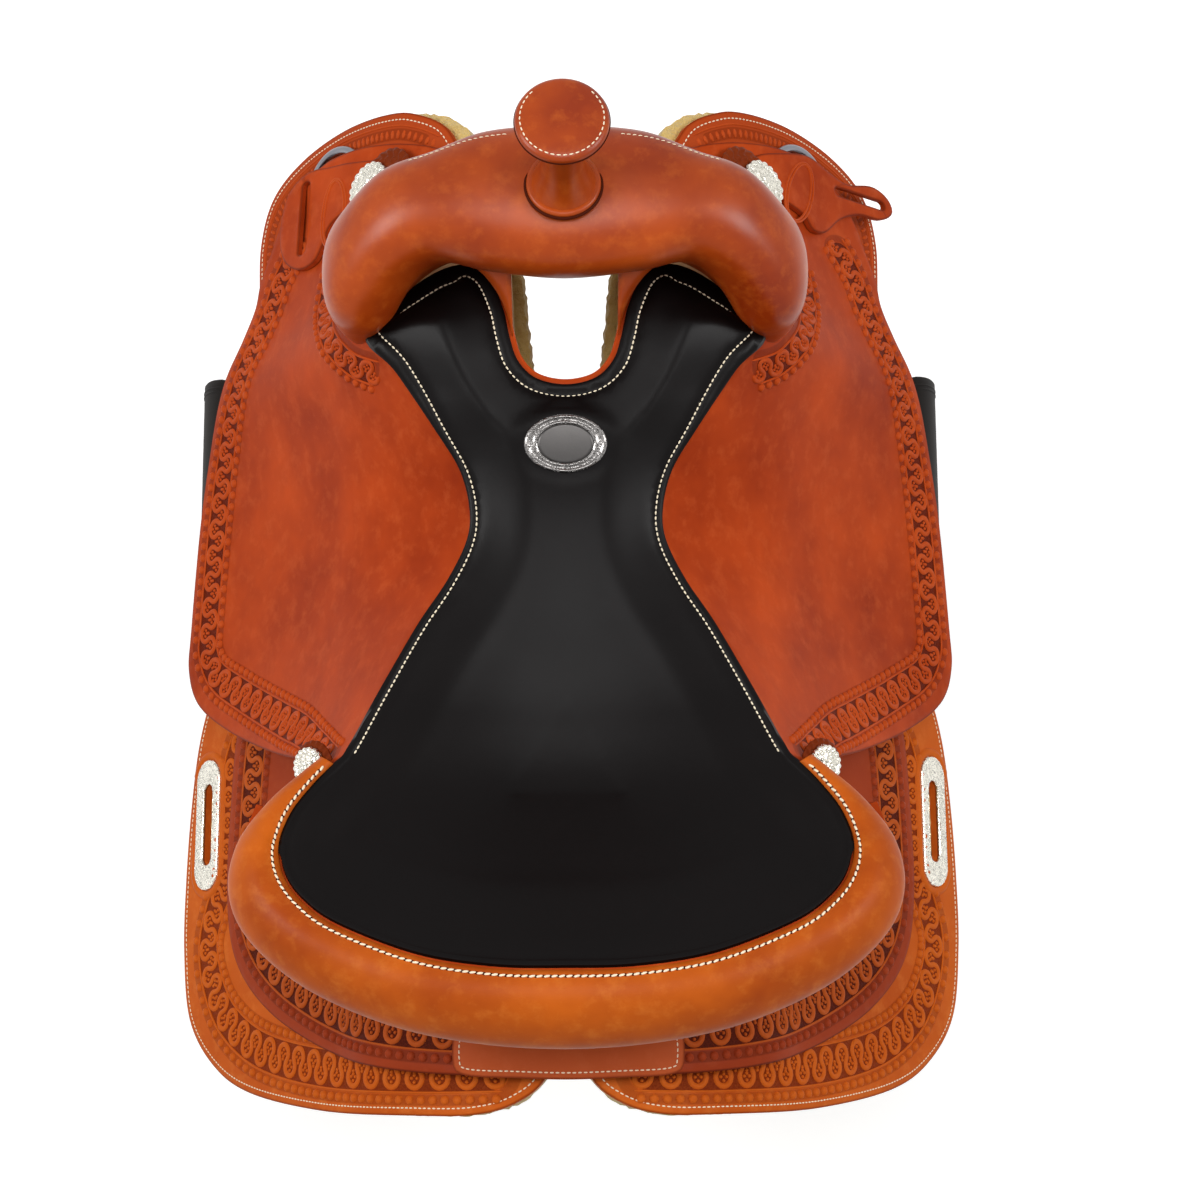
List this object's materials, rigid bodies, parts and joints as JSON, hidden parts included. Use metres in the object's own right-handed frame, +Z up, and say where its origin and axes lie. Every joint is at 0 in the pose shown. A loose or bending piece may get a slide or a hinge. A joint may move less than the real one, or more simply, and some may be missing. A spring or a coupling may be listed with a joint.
{
  "type": "reining saddle",
  "caption": "Western reining saddle with a padded seat, Cheyenne roll cantle, leather-covered fork and horn, tooled jockeys and skirts, fleece lining, fenders and stirrups.",
  "frame": {"origin": "on the ridge of the horse's back, on the fleece's underside at the spine, under the lowest part of the seat", "axes": "+Y towards the horn and the horse's head, +X to the rider's right, +Z up"},
  "size_m": [0.5538, 0.6571, 0.8532],
  "materials": {
    "tree_wood": "bare planed wood",
    "russet_leather": "oiled saddle leather, satin",
    "tan_leather": "oiled saddle leather, satin, tooled",
    "dark_leather": "oiled saddle leather, satin, tooled",
    "black_leather": "soft smooth seat leather",
    "fleece": "woolly pile",
    "steel": "brushed",
    "silver": "engraved and polished"
  },
  "bodies": {
    "saddle": {"bar_left": "tree_wood", "bar_right": "tree_wood", "billet_slot_plate_left": "silver", "billet_slot_plate_right": "silver", "cantle_back": "dark_leather", "cantle_board": "tree_wood", "cheyenne_roll": "tan_leather", "fleece_lining_left": "fleece", "fleece_lining_right": "fleece", "fork": "tree_wood", "front_concho_left": "silver", "front_concho_right": "silver", "front_rosette_left": "dark_leather", "front_rosette_right": "dark_leather", "ground_seat": "tree_wood", "horn_cap": "russet_leather", "horn_collar": "russet_leather", "horn_neck_wrap": "russet_leather", "horn_post": "steel", "latigo_keeper_left": "russet_leather", "latigo_keeper_right": "russet_leather", "leather_hanger_left": "dark_leather", "leather_hanger_right": "dark_leather", "nameplate": "silver", "rear_concho_left": "silver", "rear_concho_right": "silver", "rear_jockey_left": "dark_leather", "rear_jockey_right": "dark_leather", "rear_plate": "dark_leather", "rear_rosette_left": "dark_leather", "rear_rosette_right": "dark_leather", "rigging_strap_left": "russet_leather", "rigging_strap_right": "russet_leather", "seat_leather": "russet_leather", "seat_pad": "black_leather", "side_jockey_left": "russet_leather", "side_jockey_right": "russet_leather", "skirt_left": "tan_leather", "skirt_right": "tan_leather", "swell_cover": "russet_leather"},
    "fender_left_assembly": {"fender_left": "dark_leather", "stirrup_leather_left": "dark_leather", "leather_buckle_left": "steel", "hobble_strap_left": "dark_leather"},
    "stirrup_left_assembly": {"stirrup_left": "black_leather", "stirrup_bolt_left": "steel", "stirrup_tread_left": "black_leather"},
    "rigging_ring_left_body": {"rigging_ring_left": "steel"},
    "fender_right_assembly": {"fender_right": "dark_leather", "stirrup_leather_right": "dark_leather", "leather_buckle_right": "steel", "hobble_strap_right": "dark_leather"},
    "stirrup_right_assembly": {"stirrup_right": "black_leather", "stirrup_bolt_right": "steel", "stirrup_tread_right": "black_leather"},
    "rigging_ring_right_body": {"rigging_ring_right": "steel"}
  },
  "joints": [
    {"name": "fender_swing_left", "type": "hinge", "parent": "saddle", "child": "fender_left_assembly", "pos_m": [-0.15224, 0.05, -0.05309], "axis": [0.766, 0, -0.6428], "range_deg": [-12, 15]},
    {"name": "stirrup_swing_left", "type": "hinge", "parent": "fender_left_assembly", "child": "stirrup_left_assembly", "pos_m": [-0.25724, 0.15282, -0.44469], "axis": [-0.0127, 0.9703, 0.2416], "range_deg": [-40, 40]},
    {"name": "rigging_ring_turn_left", "type": "hinge", "parent": "saddle", "child": "rigging_ring_left_body", "pos_m": [-0.15665, 0.272, -0.04544], "axis": [-0.764, -0.0731, 0.6411], "continuous": true},
    {"name": "fender_swing_right", "type": "hinge", "parent": "saddle", "child": "fender_right_assembly", "pos_m": [0.15224, 0.05, -0.05309], "axis": [0.766, 0, 0.6428], "range_deg": [-12, 15]},
    {"name": "stirrup_swing_right", "type": "hinge", "parent": "fender_right_assembly", "child": "stirrup_right_assembly", "pos_m": [0.25724, 0.15282, -0.44469], "axis": [0.0127, 0.9703, 0.2416], "range_deg": [-40, 40]},
    {"name": "rigging_ring_turn_right", "type": "hinge", "parent": "saddle", "child": "rigging_ring_right_body", "pos_m": [0.15665, 0.272, -0.04544], "axis": [0.764, -0.0731, 0.6411], "continuous": true}
  ]
}
